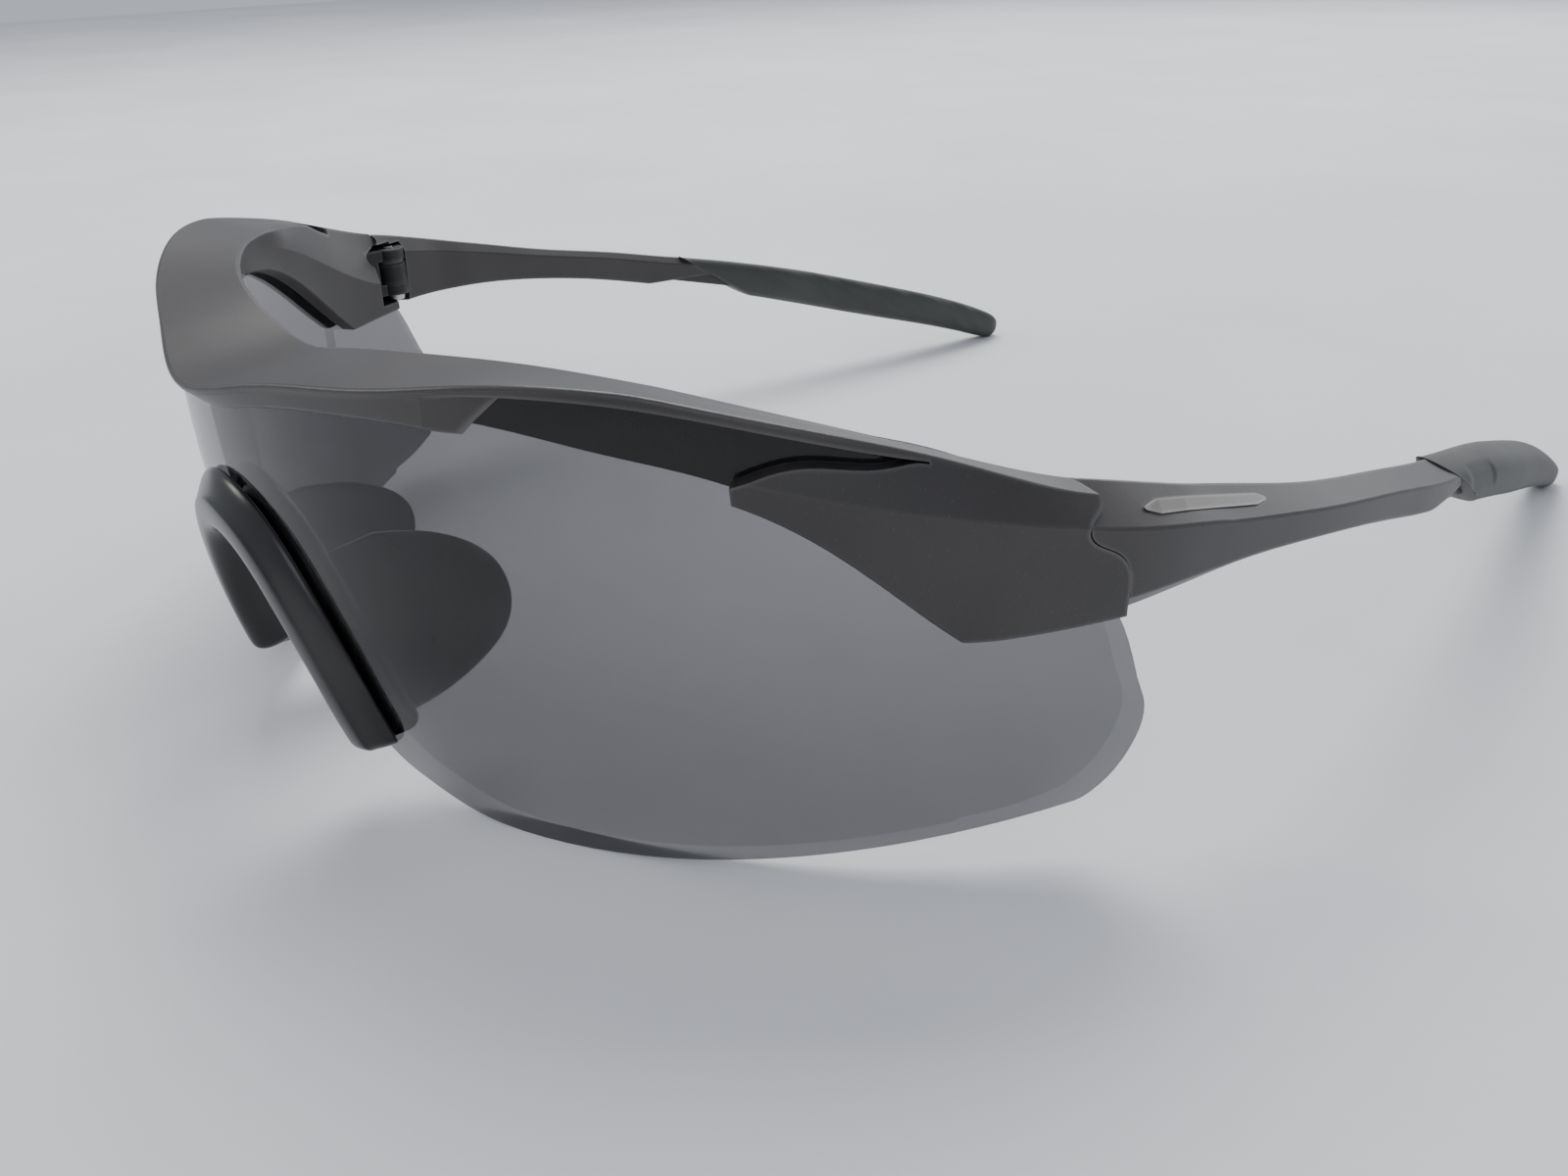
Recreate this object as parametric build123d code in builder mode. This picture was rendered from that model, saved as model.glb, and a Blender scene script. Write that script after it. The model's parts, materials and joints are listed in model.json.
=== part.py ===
"""Wraparound sport sunglasses: half-rim brow frame, one-piece toroidal shield lens,
slip-on rubber nosepiece and two folding temples with rubber grips.
Millimetres. +X is the wearer's left, +Y runs back along the temples, +Z is up.
The origin is under the middle of the bounding box, on the resting plane.
Every tabled y is a design y; at_y() moves it to the centred frame."""
import math
import os

from build123d import *

os.makedirs("parts", exist_ok=True)

# ---- driving dimensions -------------------------------------------------------
Y_SHIFT = 75.4655            # centres the bounding box on the origin in Y
PLAN_R = 68.8                # lens outer radius in plan
ELEVATION_R = 103.1          # lens outer radius in elevation
TILT = math.radians(4.39)    # the lens leans forward at the top
APEX_Y, APEX_Z = -0.43, 23.4     # foremost point of the lens arc
LENS_THICK = 2.0
SEAT_GAP = 0.05              # clearance of the lens slot and of the grip pocket
SEAM_GAP = 0.16              # gap between frame and temple along the seam
HALF_WIDTH = 90.0            # side-view cutters reach this far each way in X
FRONT_Y = -20.0              # front-view cutters start here, ahead of everything


# ---- frames and outlines ------------------------------------------------------
def at_y(y):
    """Design y moved to the centred frame."""
    return y - Y_SHIFT


def side_points(points):
    """Design (y, z) points moved to the centred frame."""
    return [(at_y(y), z) for y, z in points]


def both_sides(x, y):
    """The left and right positions of a plan point."""
    return (x, at_y(y)), (-x, at_y(y))


def cross_plane(y):
    """Plane across the glasses at y: local axes are X and Z, the normal faces front."""
    return Plane.XZ.offset(-at_y(y))


def station_plane(degrees):
    """Upright radial plane of the plan circle: local axes are radius and Z."""
    angle = math.radians(degrees)
    return Plane(origin=(0, at_y(APEX_Y + PLAN_R), 0),
                 x_dir=(math.sin(angle), -math.cos(angle), 0),
                 z_dir=(-math.cos(angle), -math.sin(angle), 0))


def grown(points, amount):
    """Each point of a clockwise outline moved outward along its mean edge normal."""
    moved = []
    for k, (x, z) in enumerate(points):
        (x_prev, z_prev), (x_next, z_next) = points[k - 1], points[(k + 1) % len(points)]
        len_in = math.hypot(x - x_prev, z - z_prev)
        len_out = math.hypot(x_next - x, z_next - z)
        normal_x = -(z - z_prev) / len_in - (z_next - z) / len_out
        normal_z = (x - x_prev) / len_in + (x_next - x) / len_out
        half = (normal_x * normal_x + normal_z * normal_z) / 2
        moved.append((x + amount * normal_x / half, z + amount * normal_z / half))
    return moved


# ---- lens torus ---------------------------------------------------------------
SIN_TILT, COS_TILT = math.sin(TILT), math.cos(TILT)
TORUS_CENTRE = (0, at_y(APEX_Y + PLAN_R * COS_TILT), APEX_Z + PLAN_R * SIN_TILT)
TORUS_PLANE = Plane(origin=TORUS_CENTRE, x_dir=(0, COS_TILT, SIN_TILT), z_dir=(1, 0, 0))
TORUS_AXIS = Axis(TORUS_CENTRE, (0, -SIN_TILT, COS_TILT))
ARC_CENTRE = PLAN_R - ELEVATION_R    # of the elevation arc, in the torus plane
ARC_HALF = math.radians(27.0)


def arc_points(offset):
    """Three points of the elevation arc, offset outward."""
    radius = ELEVATION_R + offset
    height = radius * math.sin(ARC_HALF)
    x = ARC_CENTRE + radius * math.cos(ARC_HALF)
    return (x, -height), (ARC_CENTRE + radius, 0), (x, height)


def torus_band(outer_offset, inner_offset):
    """Full ring between two offsets of the lens outer surface."""
    outer, inner = arc_points(outer_offset), arc_points(inner_offset)
    with BuildPart() as band:
        with BuildSketch(TORUS_PLANE):
            with BuildLine():
                ThreePointArc(*outer)
                Line(outer[2], inner[2])
                ThreePointArc(*inner)
                Line(inner[0], outer[0])
            make_face()
        revolve(axis=TORUS_AXIS, revolution_arc=360)
    return band.part


def torus_core():
    """Solid inside the lens mid surface."""
    arc = arc_points(-LENS_THICK / 2)
    axis_low, axis_high = (0, arc[0][1]), (0, arc[2][1])
    with BuildPart() as core:
        with BuildSketch(TORUS_PLANE):
            with BuildLine():
                ThreePointArc(*arc)
                Line(arc[2], axis_high)
                Line(axis_high, axis_low)
                Line(axis_low, arc[0])
            make_face()
        revolve(axis=TORUS_AXIS, revolution_arc=360)
    return core.part


# ---- shield lens --------------------------------------------------------------
# Front view (x, z) of the left half, clockwise from the top centre
LENS_TOP = [(0, 37.2), (3.5, 38.0), (7.3, 38.95), (12, 39.8), (17, 40.5), (22, 40.95),
            (26.5, 41.0)]
LENS_PEAK = [(27.9, 41.05), (29.2, 41.75), (31.5, 42.3), (35.1, 42.65), (40.8, 42.6),
             (43.7, 42.1), (46.9, 41.35), (49.9, 40.5), (52.7, 39.6), (55.4, 38.4),
             (57.0, 37.3), (58.4, 36.2), (59.3, 34.6), (60.6, 33.0)]
LENS_END = [(70, 32.0), (70, 9.0)]       # outboard of the lens
LENS_LOW = [(61.8, 6.1), (57.2, 4.5), (52.4, 3.1), (46.8, 1.8), (41.7, 0.9), (35.8, 0.27),
            (30.5, 0.02), (26.0, 0.12), (22.3, 0.7), (18.0, 2.6), (15.2, 4.2), (13.7, 5.9)]
LENS_NOTCH = [(13.1, 9.6), (12.4, 13.4), (11.2, 17.0), (9.4, 20.6), (7.2, 23.6),
              (4.2, 25.7), (0, 26.6)]

# Side view (y, z), anticlockwise: everything in front of the two rear edges
SIDE_LOW = [(36.0, 4.1), (40.5, 4.9)]
SIDE_EDGE = [(43.7, 6.1), (45.6, 8.3), (46.6, 10.9), (46.95, 13.6), (46.6, 15.6),
             (45.7, 17.6), (44.9, 19.7), (43.9, 22.3)]
SIDE_TOP = [(43.0, 24.2), (41.8, 24.9), (37.5, 25.9), (34.4, 26.8), (33.2, 30.0),
            (33.0, 36.5), (33.0, 55), (-20, 55), (-20, -10), (35.5, -10)]


def make_lens(grow):
    """The lens, or the slot that seats it when grown by a clearance."""
    half = LENS_TOP + LENS_PEAK + LENS_END + LENS_LOW + LENS_NOTCH
    outline = grown(half + [(-x, z) for x, z in reversed(half[1:-1])], grow)
    peak_start = len(LENS_TOP)
    end_start = peak_start + len(LENS_PEAK)
    low_start = end_start + len(LENS_END)
    notch_start = low_start + len(LENS_LOW)
    peak = outline[peak_start:end_start]
    low = outline[low_start:notch_start]
    notch = outline[notch_start - 1:len(half)]

    side = side_points(grown(SIDE_LOW + SIDE_EDGE + SIDE_TOP, -grow))
    edge_start = len(SIDE_LOW)
    top_start = edge_start + len(SIDE_EDGE)

    band = torus_band(grow, -LENS_THICK - grow)
    with BuildPart() as lens:
        add(band)
        with BuildSketch(cross_plane(FRONT_Y)):
            with BuildLine():
                Polyline(*outline[:peak_start], peak[0])
                Spline(*peak)
                Polyline(peak[-1], *outline[end_start:low_start], low[0])
                Spline(*low)
                Spline(*notch, tangents=((-0.2, 1), (-1, 0)))
                Line(notch[-1], outline[0])
            make_face()
            mirror(about=Plane.YZ)
        extrude(amount=-90, mode=Mode.INTERSECT)
        with BuildSketch(Plane.YZ):
            with BuildLine():
                Spline(*side[:edge_start + 1])
                Spline(*side[edge_start:top_start + 1])
                Polyline(*side[top_start:], side[0])
            make_face()
        extrude(amount=HALF_WIDTH, both=True, mode=Mode.INTERSECT)
    return lens.part


# ---- scoop: the open length of brow where the lens stands proud ---------------
SCOOP_OUT = 8.0     # outer side, outward from the plan circle
# degrees round the plan circle, inner side at the bottom and at the top (outward
# from the plan circle), low z, high z
SCOOP_CURVED = [
    (19.5, 1.9, 1.9, 38.2, 40.9), (22.0, 1.1, 1.3, 38.2, 41.3), (25.0, 0.5, 0.95, 38.1, 42.0),
    (28.0, -0.6, 0.5, 37.8, 42.55), (30.5, -2.2, -0.3, 37.4, 42.8),
    (33.5, -4.2, -2.4, 36.8, 42.9), (37.0, -4.6, -4.4, 36.3, 42.75),
    (40.5, -4.5, -4.5, 36.3, 42.3), (44.4, -4.5, -4.5, 37.3, 41.5),
    (46.4, -4.5, -4.5, 38.2, 41.0), (50.0, -4.5, -4.5, 38.6, 40.05),
    (54.0, -4.5, -4.5, 38.5, 39.0), (55.6, -4.5, -4.5, 38.4, 38.6)]
SCOOP_RULED = [(33.0, -4.5, -4.5, 28.0, 37.2), (44.4, -4.5, -4.5, 28.0, 37.35)]


def make_scoop():
    """Cutter for both sides; the brow wall behind the lens mid surface is spared."""
    core = torus_core()
    with BuildPart() as scoop:
        for rows, ruled in ((SCOOP_CURVED, False), (SCOOP_RULED, True)):
            for degrees, in_low, in_high, z_low, z_high in rows:
                with BuildSketch(station_plane(degrees)):
                    with BuildLine():
                        Polyline((PLAN_R + in_low, z_low), (PLAN_R + SCOOP_OUT, z_low),
                                 (PLAN_R + SCOOP_OUT, z_high), (PLAN_R + in_high, z_high),
                                 close=True)
                    make_face()
            loft(ruled=ruled)
        add(core, mode=Mode.SUBTRACT)
        mirror(about=Plane.YZ)
    return scoop.part


# ---- seam: S-shaped end of the frame in side view, (y, z) from top to bottom --
SEAM = [(39.6, 40.0), (39.8, 36.4), (40.0, 35.4), (40.5, 34.8), (40.6, 34.3), (40.1, 33.8),
        (39.0, 33.3), (38.4, 32.8), (38.5, 32.1), (39.3, 31.3), (40.5, 30.6), (41.3, 29.8),
        (41.8, 28.8), (42.0, 27.6), (42.0, 26.4), (42.05, 25.2), (42.1, 20.0)]
SEAM_BACK_Y = 130.0     # rear of the space behind the seam


def behind_seam(gap):
    """All the space behind the seam, set back by a gap."""
    seam = side_points([(y + gap, z) for y, z in SEAM])
    with BuildPart() as behind:
        with BuildSketch(Plane.YZ):
            with BuildLine():
                Spline(*seam)
                Polyline(seam[-1], (at_y(SEAM_BACK_Y), SEAM[-1][1]),
                         (at_y(SEAM_BACK_Y), SEAM[0][1]), seam[0])
            make_face()
        extrude(amount=HALF_WIDTH, both=True)
    return behind.part


# ---- hinge dimensions ---------------------------------------------------------
HINGE_X, HINGE_Y = 60.0, 42.2       # vertical axis of the left hinge
HINGE = (HINGE_X, at_y(HINGE_Y))
SCREW_R = 0.7
SCREW_PROUD = 0.15      # shank above the upper ear
HEAD_R = 1.3
KNUCKLE_R = 2.0
WASHER_R = 1.8
FORK_X, FORK_WIDTH = 59.7, 2.0

# Levels (bottom z, top z), stacked with a running gap
LEVEL_GAP = 0.06
FORK_LOW = (27.1, 28.6)
TONGUE = (FORK_LOW[1] + LEVEL_GAP, 31.2)
WASHER = (TONGUE[1] + LEVEL_GAP, 31.7)
FORK_HIGH = (WASHER[1] + LEVEL_GAP, 33.2)
FORK_HEIGHT = FORK_HIGH[1] - FORK_LOW[0]
HEAD = (26.2, FORK_LOW[0])      # screw head, under the lower ear

# Tongue plan: x from the hinge axis, y
TONGUE_PLAN = [(-0.4, HINGE_Y), (1.2, HINGE_Y), (3.6, 45.4), (4.0, 52.0), (2.4, 52.0),
               (1.9, 46.2)]

# ---- brow frame ---------------------------------------------------------------
# First column: degrees round the plan circle. The s columns run outward from the
# plan circle: top rear (s, z), top front (s, z), ridge (s, z), bottom z,
# bottom front s, bottom rear s
FRAME = [
    (0.0, -9.22, 39.705, 2.886, 38.343, 2.435, 37.637, 36.258, 0.943, -5.605),
    (6.0, -8.728, 40.457, 2.063, 39.431, 1.696, 38.682, 37.289, 0.831, -5.6),
    (12.0, -7.853, 41.69, 1.116, 40.767, 0.847, 40.054, 38.573, 0.678, -5.553),
    (18.0, -7.445, 42.425, 0.995, 41.589, 0.751, 40.876, 39.263, 0.63, -5.456),
    (24.0, -7.239, 42.753, 1.102, 42.627, 0.888, 41.867, 39.51, 0.647, -5.289),
    (30.0, -6.921, 42.708, 1.058, 43.636, 1.027, 42.383, 39.056, 0.79, -5.038),
    (36.0, -6.386, 42.246, 0.925, 43.812, 1.383, 41.103, 37.947, 1.008, -4.734),
    (42.0, -5.398, 41.457, 0.821, 42.948, 1.813, 38.855, 36.615, 1.149, -4.358),
    (47.0, -4.175, 40.62, 0.805, 41.709, 1.999, 37.24, 34.386, 1.21, -4.053),
    (52.0, -2.838, 39.591, 0.801, 40.307, 2.066, 35.95, 30.293, 1.261, -3.903),
    (56.0, -2.007, 38.483, 0.697, 38.906, 2.094, 34.972, 26.145, 1.294, -3.951),
    (60.0, -1.684, 37.084, 0.465, 37.091, 2.1, 34.02, 22.545, 1.299, -4.102),
    (64.0, -1.881, 35.669, 0.207, 35.278, 2.101, 33.15, 20.535, 1.272, -4.253),
    (70.0, -2.539, 34.088, -0.005, 33.487, 2.148, 32.098, 20.026, 1.197, -4.311),
]
FRAME_FILLET = 0.35
# Side view (y, z) of the material below the level edge of the wings
WING_TRIM = [(28, 24.5), (33, 24.5), (44, 25.2), (44, 10), (28, 10)]
# Clearance round each hinge
FRAME_HINGE_R = 2.65
FRAME_HINGE_Z, FRAME_HINGE_HEIGHT = 26.1, 7.4


def frame_points(row):
    """Section corners (radius, z) of one brow station."""
    _, s_top, z_top, s_front, z_front, s_ridge, z_ridge, z_low, s_low, s_rear = row
    z_mid = z_low + 0.55 * (z_top - z_low)
    s_mid = min(s_rear - 0.3, s_rear + 0.6 * (s_top - s_rear))
    return [(PLAN_R + s_top, z_top), (PLAN_R + s_front, z_front), (PLAN_R + s_ridge, z_ridge),
            (PLAN_R + s_low, z_low), (PLAN_R + s_rear, z_low), (PLAN_R + s_mid, z_mid)]


def make_brow_frame(lens_slot):
    right_rows = [(-row[0],) + row[1:] for row in reversed(FRAME[1:])]
    behind = behind_seam(0.0)
    scoop = make_scoop()
    with BuildPart() as frame:
        for row in right_rows + FRAME:
            with BuildSketch(station_plane(row[0])) as section:
                with BuildLine():
                    Polyline(*frame_points(row), close=True)
                make_face()
                fillet(section.vertices(), FRAME_FILLET)
        loft()
        with BuildSketch(Plane.YZ):
            with BuildLine():
                Polyline(*side_points(WING_TRIM), close=True)
            make_face()
        extrude(amount=HALF_WIDTH, both=True, mode=Mode.SUBTRACT)
        add(behind, mode=Mode.SUBTRACT)
        add(scoop, mode=Mode.SUBTRACT)
        add(lens_slot, mode=Mode.SUBTRACT)
        # clearance round each hinge
        with BuildSketch(Plane.XY.offset(FRAME_HINGE_Z)):
            with Locations(*both_sides(HINGE_X, HINGE_Y)):
                Circle(FRAME_HINGE_R)
            with Locations(*both_sides(57.85, 41.3)):
                Rectangle(5.7, 4.0)
        extrude(amount=FRAME_HINGE_HEIGHT, mode=Mode.SUBTRACT)
        # seat of each metal fork
        with BuildSketch(Plane.XY.offset(FORK_LOW[0])):
            with Locations(*both_sides(FORK_X, 38.4)):
                Rectangle(FORK_WIDTH, 7.2)
        extrude(amount=FORK_HEIGHT, mode=Mode.SUBTRACT)
    return frame.part


# ---- left hinge ---------------------------------------------------------------
def make_fork():
    """Block moulded into the frame, with two ears."""
    with BuildPart() as fork:
        with BuildSketch(Plane.XY.offset(FORK_LOW[0])):
            with Locations((FORK_X, at_y(37.4))):
                Rectangle(FORK_WIDTH, 5.2)
        extrude(amount=FORK_HEIGHT)
        for z_low, z_high in (FORK_LOW, FORK_HIGH):
            with BuildSketch(Plane.XY.offset(z_low)):
                with Locations((FORK_X, at_y(40.9))):
                    Rectangle(FORK_WIDTH, 2.6)
                with Locations(HINGE):
                    Circle(KNUCKLE_R)
                    Circle(SCREW_R + 0.03, mode=Mode.SUBTRACT)
            extrude(amount=z_high - z_low)
    return fork.part


def make_tongue():
    """Plate moulded into the temple, with one ear."""
    with BuildPart() as tongue:
        with BuildSketch(Plane.XY.offset(TONGUE[0])):
            with BuildLine():
                Polyline(*[(HINGE_X + x, at_y(y)) for x, y in TONGUE_PLAN], close=True)
            make_face()
            with Locations(HINGE):
                Circle(KNUCKLE_R)
                Circle(SCREW_R + 0.04, mode=Mode.SUBTRACT)
        extrude(amount=TONGUE[1] - TONGUE[0])
    return tongue.part


def make_washer():
    with BuildPart() as washer:
        with BuildSketch(Plane.XY.offset(WASHER[0])):
            with Locations(HINGE):
                Circle(WASHER_R)
                Circle(SCREW_R + 0.05, mode=Mode.SUBTRACT)
        extrude(amount=WASHER[1] - WASHER[0])
    return washer.part


def make_screw():
    with BuildPart() as screw:
        with BuildSketch(Plane.XY.offset(HEAD[1])):
            with Locations(HINGE):
                Circle(SCREW_R)
        extrude(amount=FORK_HIGH[1] + SCREW_PROUD - HEAD[1])
        with BuildSketch(Plane.XY.offset(HEAD[0])):
            with Locations(HINGE):
                Circle(HEAD_R)
        extrude(amount=HEAD[1] - HEAD[0])
        fillet(screw.faces().sort_by(Axis.Z)[0].edges(), 0.3)
        # hexagonal driver recess
        with BuildSketch(Plane.XY.offset(HEAD[0])):
            with Locations(HINGE):
                RegularPolygon(0.6, 6)
        extrude(amount=0.5, mode=Mode.SUBTRACT)
    return screw.part


# ---- left temple --------------------------------------------------------------
# y, top z, bottom z, ridge z, outer x, thickness
ARM = [
    (34.0, 37.2, 24.6, 33.7, 62.0, 5.6),
    (37.0, 36.2, 24.8, 33.2, 63.5, 6.0),
    (40.0, 35.4, 25.0, 32.6, 64.8, 6.2),
    (42.0, 34.95, 25.15, 32.2, 65.4, 6.0),
    (45.0, 34.2, 25.35, 31.6, 66.0, 5.7),
    (48.0, 33.4, 25.4, 31.0, 66.3, 5.2),
    (53.0, 32.1, 25.3, 29.8, 66.5, 4.6),
    (60.0, 30.3, 24.8, 28.3, 66.7, 4.1),
    (68.0, 28.3, 23.7, 26.7, 66.8, 3.9),
    (76.0, 26.7, 22.2, 25.2, 66.5, 3.8),
    (84.0, 25.0, 20.3, 23.5, 66.0, 3.9),
    (92.0, 23.3, 18.4, 21.7, 65.1, 4.1),
    (101.0, 21.3, 15.9, 19.6, 63.6, 4.4),
]
GRIP = [
    (89.0, 24.2, 18.9, 22.3, 65.7, 4.7),
    (98.0, 22.3, 16.5, 20.4, 64.5, 5.0),
    (106.0, 20.4, 14.4, 18.5, 63.0, 5.2),
    (114.0, 18.3, 12.0, 16.4, 61.4, 5.4),
    (122.0, 15.9, 9.5, 13.9, 59.7, 5.5),
    (130.0, 13.4, 7.1, 11.4, 57.9, 5.5),
    (138.0, 10.8, 4.7, 8.8, 56.1, 5.3),
    (145.0, 8.2, 2.4, 6.3, 54.5, 4.9),
    (150.0, 6.0, 0.6, 4.2, 53.3, 4.3),
    (152.6, 4.6, 0.0, 3.0, 52.6, 3.5),
    (154.0, 3.5, 0.5, 2.4, 52.1, 2.4),
]
GRIP_TABLE_Y = 95.0     # the centre line follows GRIP from here back, ARM before
ARM_FILLET = 0.4
GRIP_FILLET, GRIP_TIP_FILLET = 0.6, 0.35
GRIP_SEAM = Plane(origin=(0, at_y(96.4), 20.0), z_dir=Vector(0, 0.55, 0.835))

# Tang of the arm inside the grip: y, width in X, height in Z
TANG = [(86.0, 2.0, 2.6), (98.0, 2.2, 3.0), (106.0, 2.2, 3.0), (114.0, 2.2, 3.0),
        (122.0, 2.2, 3.0), (130.0, 2.1, 2.8), (138.0, 2.0, 2.4)]
TANG_END_GAP = 0.1
WIRE_R = 0.5
WIRE_Y = (72, 84, 98, 110, 122, 134)

# Lozenge outline in the badge plane, on the upper facet of the arm
BADGE_PLANE = Plane(origin=Vector(64.9, at_y(51.5), 31.42), x_dir=Vector(0.03, 0.966, -0.256),
                    z_dir=Vector(0.585, 0.19, 0.79))
BADGE_SHAPE = [(-7.8, -0.05), (-5.6, 0.7), (6.6, 0.55), (8.0, 0.0), (6.0, -0.55), (-6.2, -0.7)]
BADGE_DEPTH, BADGE_PROUD = 0.75, 0.1

# Room for the hinge in the arm
ARM_HINGE_R = 2.5
ARM_HINGE_Z, ARM_HINGE_HEIGHT = 20.0, 13.6
# x, y, size in X, size in Y, bottom z, height
ARM_POCKETS = [(57.8, 38.7, 6.0, 8.0, 26.9, 7.0), (57.1, 39.2, 5.0, 6.0, 33.5, 4.0)]


def temple_points(row):
    """Section corners (x, z) of one temple station."""
    _, z_top, z_low, z_ridge, x_out, thick = row
    return [(x_out - 0.72 * thick, z_top), (x_out, z_ridge),
            (x_out - 0.15, z_low + 0.2 * (z_ridge - z_low)),
            (x_out - min(0.28 * thick, 1.2), z_low),
            (x_out - 0.9 * thick, z_low + 0.1),
            (x_out - thick, z_top - 0.22 * (z_top - z_low))]


def temple_middle(y):
    """Mid point (x, z) of the temple section, interpolated between stations."""
    rows = ARM if y < GRIP_TABLE_Y else GRIP
    before, after = next((a, b) for a, b in zip(rows, rows[1:]) if y <= b[0])
    share = (y - before[0]) / (after[0] - before[0])
    _, z_top, z_low, _, x_out, thick = (p + share * (q - p) for p, q in zip(before, after))
    return x_out - 0.5 * thick, 0.5 * (z_top + z_low)


def make_tang(rows, gap):
    """The tang, or its pocket when a gap is added on each side."""
    with BuildPart() as tang:
        for y, width, height in rows:
            with BuildSketch(cross_plane(y)):
                with Locations(temple_middle(y)):
                    Rectangle(width + 2 * gap, height + 2 * gap)
        loft()
    return tang.part


def make_core():
    """Wire along the middle of the temple."""
    points = []
    for y in WIRE_Y:
        x, z = temple_middle(y)
        points.append((x, at_y(y), z))
    with BuildPart() as core:
        with BuildLine() as path:
            Spline(*points)
        with BuildSketch(path.line ^ 0):
            Circle(WIRE_R)
        sweep()
    return core.part


def make_badge():
    with BuildPart() as badge:
        with BuildSketch(BADGE_PLANE.offset(-BADGE_DEPTH)) as lozenge:
            with BuildLine():
                Polyline(*BADGE_SHAPE, close=True)
            make_face()
            fillet(lozenge.vertices(), 0.2)
        extrude(amount=BADGE_DEPTH + BADGE_PROUD)
    return badge.part


def make_arm(core, tongue, badge):
    behind = behind_seam(SEAM_GAP)
    tang = make_tang(TANG, 0.0)
    with BuildPart() as arm:
        for row in ARM:
            with BuildSketch(cross_plane(row[0])) as section:
                with BuildLine():
                    Polyline(*temple_points(row), close=True)
                make_face()
                fillet(section.vertices(), ARM_FILLET)
        loft()
        add(behind, mode=Mode.INTERSECT)
        split(bisect_by=GRIP_SEAM, keep=Keep.BOTTOM)
        add(tang)
        add(core, mode=Mode.SUBTRACT)
        # room for the knuckles and ears
        with BuildSketch(Plane.XY.offset(ARM_HINGE_Z)):
            with Locations(HINGE):
                Circle(ARM_HINGE_R)
        extrude(amount=ARM_HINGE_HEIGHT, mode=Mode.SUBTRACT)
        for x, y, size_x, size_y, z_low, height in ARM_POCKETS:
            with BuildSketch(Plane.XY.offset(z_low)):
                with Locations((x, at_y(y))):
                    Rectangle(size_x, size_y)
            extrude(amount=height, mode=Mode.SUBTRACT)
        # seats of the tongue and the badge
        add(tongue, mode=Mode.SUBTRACT)
        add(badge, mode=Mode.SUBTRACT)
    return arm.part


def make_grip():
    """Rubber sleeve over the tang."""
    end_y, end_width, end_height = TANG[-1]
    pocket = make_tang(TANG[:-1] + [(end_y + TANG_END_GAP, end_width, end_height)], SEAT_GAP)
    with BuildPart() as grip:
        for row in GRIP:
            with BuildSketch(cross_plane(row[0])) as section:
                with BuildLine():
                    Polyline(*temple_points(row), close=True)
                make_face()
                fillet(section.vertices(), GRIP_TIP_FILLET if row is GRIP[-1] else GRIP_FILLET)
        loft()
        split(bisect_by=GRIP_SEAM, keep=Keep.TOP)
        add(pocket, mode=Mode.SUBTRACT)
    return grip.part


# ---- nosepiece ----------------------------------------------------------------
# Front view (x, z) of the left half of the saddle: outer edge from the top centre
# down to the foot, then inner edge back up
SADDLE_OUTER = [(0, 29.4), (4.4, 28.9), (8.6, 27.6), (11.4, 25.6), (13.8, 22.0), (15.6, 18.2),
                (16.8, 14.4), (17.0, 11.4), (15.9, 8.6), (14.2, 7.2), (12.8, 6.2), (11.4, 5.6)]
SADDLE_INNER = [(11.4, 5.6), (10.2, 6.6), (10.0, 9.6), (9.4, 13.2), (8.1, 16.8), (6.2, 20.2),
                (3.6, 22.8), (0, 23.8)]
# Left pad: y, centre x, centre z, thickness, height
PAD = [(3.75, 11.6, 15.2, 2.6, 12.6), (8.0, 11.2, 15.4, 2.2, 14.6), (12.5, 10.8, 15.4, 2.1, 13.8),
       (16.5, 10.4, 15.0, 2.0, 11.0), (19.3, 10.2, 14.8, 1.4, 6.6)]
PAD_LEAN = 13       # degrees, in front view


def make_saddle(lens_slot):
    """Channel round the edge of the nose notch."""
    band = torus_band(1.3, -3.6)
    with BuildPart() as saddle:
        add(band)
        with BuildSketch(cross_plane(FRONT_Y)):
            with BuildLine():
                Spline(*SADDLE_OUTER)
                Spline(*SADDLE_INNER)
                Line(SADDLE_INNER[-1], SADDLE_OUTER[0])
            make_face()
            mirror(about=Plane.YZ)
        extrude(amount=-60, mode=Mode.INTERSECT)
        add(lens_slot, mode=Mode.SUBTRACT)
    return saddle.part


def make_pad():
    """Soft flared lobe behind the saddle."""
    band = torus_band(2.0, -3.65)
    with BuildPart() as pad:
        for y, x, z, thick, height in PAD:
            with BuildSketch(cross_plane(y)):
                with Locations((x, z)):
                    with Locations(Rotation(0, 0, PAD_LEAN)):
                        RectangleRounded(thick, height, 0.45 * thick)
        loft()
        add(band, mode=Mode.SUBTRACT)
    return pad.part


# ---- build, mirror and export -------------------------------------------------
def mirrored(left):
    with BuildPart() as right:
        mirror(left, about=Plane.YZ)
    return right.part


slot = make_lens(SEAT_GAP)
pieces = {
    "shield_lens": make_lens(0.0),
    "brow_frame": make_brow_frame(slot),
    "nosepiece_saddle": make_saddle(slot),
}
left_pieces = {
    "hinge_fork": make_fork(),
    "hinge_tongue": make_tongue(),
    "hinge_washer": make_washer(),
    "hinge_screw": make_screw(),
    "temple_core": make_core(),
    "temple_badge": make_badge(),
    "temple_grip": make_grip(),
    "nose_pad": make_pad(),
}
left_pieces["temple_arm"] = make_arm(left_pieces["temple_core"], left_pieces["hinge_tongue"],
                                     left_pieces["temple_badge"])
for stem, left_piece in left_pieces.items():
    pieces[stem + "_left"] = left_piece
    pieces[stem + "_right"] = mirrored(left_piece)

for label, piece in pieces.items():
    piece.label = label
    export_step(piece, "parts/" + label + ".step")
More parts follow.
